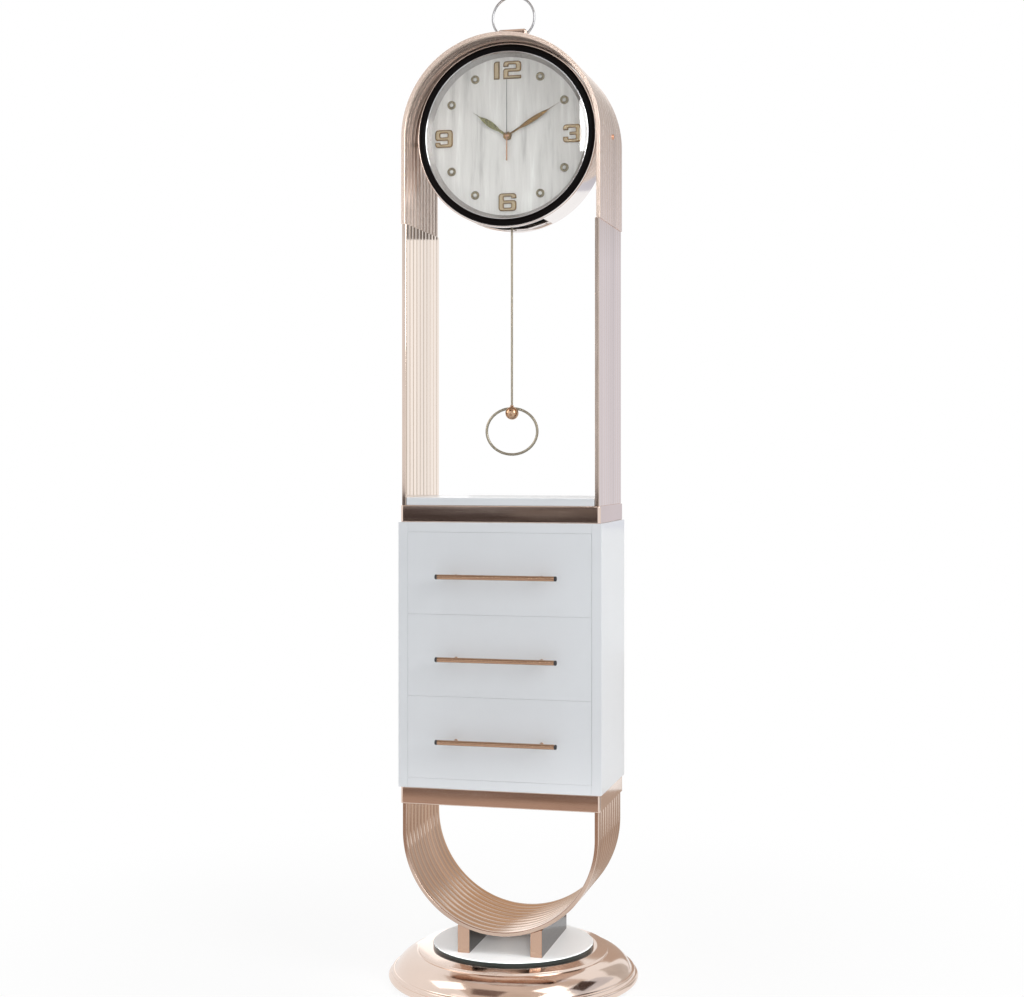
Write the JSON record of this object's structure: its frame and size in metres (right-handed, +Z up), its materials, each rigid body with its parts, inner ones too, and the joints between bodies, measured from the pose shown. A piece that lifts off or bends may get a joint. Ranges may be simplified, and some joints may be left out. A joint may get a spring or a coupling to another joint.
{
  "type": "floor clock",
  "caption": "Free-standing floor clock on a stepped round base, with a fluted metal hoop and arch, a white drawer cabinet, a round dial and a swinging pendulum.",
  "frame": {"origin": "on the floor under the middle of the round base", "axes": "+Z up, front towards -Y, +X to the viewer's right"},
  "size_m": [0.466, 0.466, 1.8382],
  "materials": {
    "rose_gold": "polished rose-gold plating",
    "iron": "as cast, painted black",
    "rubber": "matt",
    "mirror_glass": "silvered glass with a polished edge",
    "steel": "zinc plated",
    "white_lacquer": "satin white lacquer",
    "drawer_board": "white melamine",
    "drum_silver": "polished silver",
    "black_gloss": "gloss black",
    "black_plastic": "moulded black",
    "clear_glass": "clear",
    "dial_silver": "brushed top to bottom",
    "gold": "pale gold",
    "chrome": "polished",
    "gem": "cut stone",
    "battery_wrap": "plain wrap",
    "copper": "copper coloured",
    "handle_copper": "rose-gold plating"
  },
  "bodies": {
    "case": {"base_shell": "rose_gold", "foot_bar_left": "rose_gold", "foot_bar_right": "rose_gold", "lower_loop": "rose_gold", "bottom_trim": "rose_gold", "top_trim": "rose_gold", "leg_left": "rose_gold", "leg_right": "rose_gold", "arch_band": "rose_gold", "base_ballast": "iron", "base_floor_ring": "rubber", "mirror_disc": "mirror_glass", "foot_bolts": "steel", "seam_pins": "steel", "runner_channels": "steel", "cabinet_bottom": "white_lacquer", "cabinet_side_left": "white_lacquer", "cabinet_side_right": "white_lacquer", "cabinet_back": "white_lacquer", "cabinet_top": "white_lacquer", "shelf_board": "white_lacquer", "head_drum": "drum_silver", "drum_back_cover": "black_plastic", "bezel_ring": "black_gloss", "rehaut_ring": "drum_silver", "glass_lens": "clear_glass", "dial_plate": "dial_silver", "dial_numerals": "gold", "gem_settings": "chrome", "gem_stones": "gem", "movement_case": "black_plastic", "movement_nut": "gold", "battery": "battery_wrap", "head_spacers": "drum_silver", "head_screws": "copper", "ring_mount": "chrome", "carry_ring": "chrome"},
    "pendulum": {"pendulum_hanger": "steel", "pendulum_rod": "chrome", "pendulum_ball": "chrome", "pendulum_ring": "chrome"},
    "hour": {"hour_hand": "gold"},
    "minute": {"minute_hand": "gold"},
    "second": {"second_hand": "copper"},
    "knob": {"setting_knob": "black_plastic"},
    "upper_drawer": {"upper_drawer_front": "white_lacquer", "upper_drawer_box": "drawer_board", "upper_drawer_rails": "steel", "upper_handle_bar": "handle_copper", "upper_handle_posts": "handle_copper"},
    "middle_drawer": {"middle_drawer_front": "white_lacquer", "middle_drawer_box": "drawer_board", "middle_drawer_rails": "steel", "middle_handle_bar": "handle_copper", "middle_handle_posts": "handle_copper"},
    "lower_drawer": {"lower_drawer_front": "white_lacquer", "lower_drawer_box": "drawer_board", "lower_drawer_rails": "steel", "lower_handle_bar": "handle_copper", "lower_handle_posts": "handle_copper"}
  },
  "joints": [
    {"name": "upper_drawer_slide", "type": "slide", "parent": "case", "child": "upper_drawer", "axis": [0, -1, 0], "range_m": [0, 0.14]},
    {"name": "middle_drawer_slide", "type": "slide", "parent": "case", "child": "middle_drawer", "axis": [0, -1, 0], "range_m": [0, 0.14]},
    {"name": "lower_drawer_slide", "type": "slide", "parent": "case", "child": "lower_drawer", "axis": [0, -1, 0], "range_m": [0, 0.14]},
    {"name": "pendulum_swing", "type": "hinge", "parent": "case", "child": "pendulum", "pos_m": [0, -0.012, 1.547], "axis": [0, 1, 0], "range_deg": [-4, 4]},
    {"name": "minute_turn", "type": "hinge", "parent": "case", "child": "minute", "pos_m": [0, -0.045, 1.567], "axis": [0, 1, 0], "continuous": true},
    {"name": "hour_turn", "type": "hinge", "parent": "case", "child": "hour", "pos_m": [0, -0.045, 1.567], "axis": [0, 1, 0], "continuous": true},
    {"name": "second_turn", "type": "hinge", "parent": "case", "child": "second", "pos_m": [0, -0.045, 1.567], "axis": [0, 1, 0], "continuous": true},
    {"name": "knob_turn", "type": "hinge", "parent": "case", "child": "knob", "pos_m": [-0.016, -0.012, 1.567], "axis": [0, 1, 0], "continuous": true}
  ],
  "couplings": [
    {"joint": "hour_turn", "follows": "minute_turn", "ratio": 0.083333},
    {"joint": "knob_turn", "follows": "minute_turn", "ratio": -1}
  ]
}
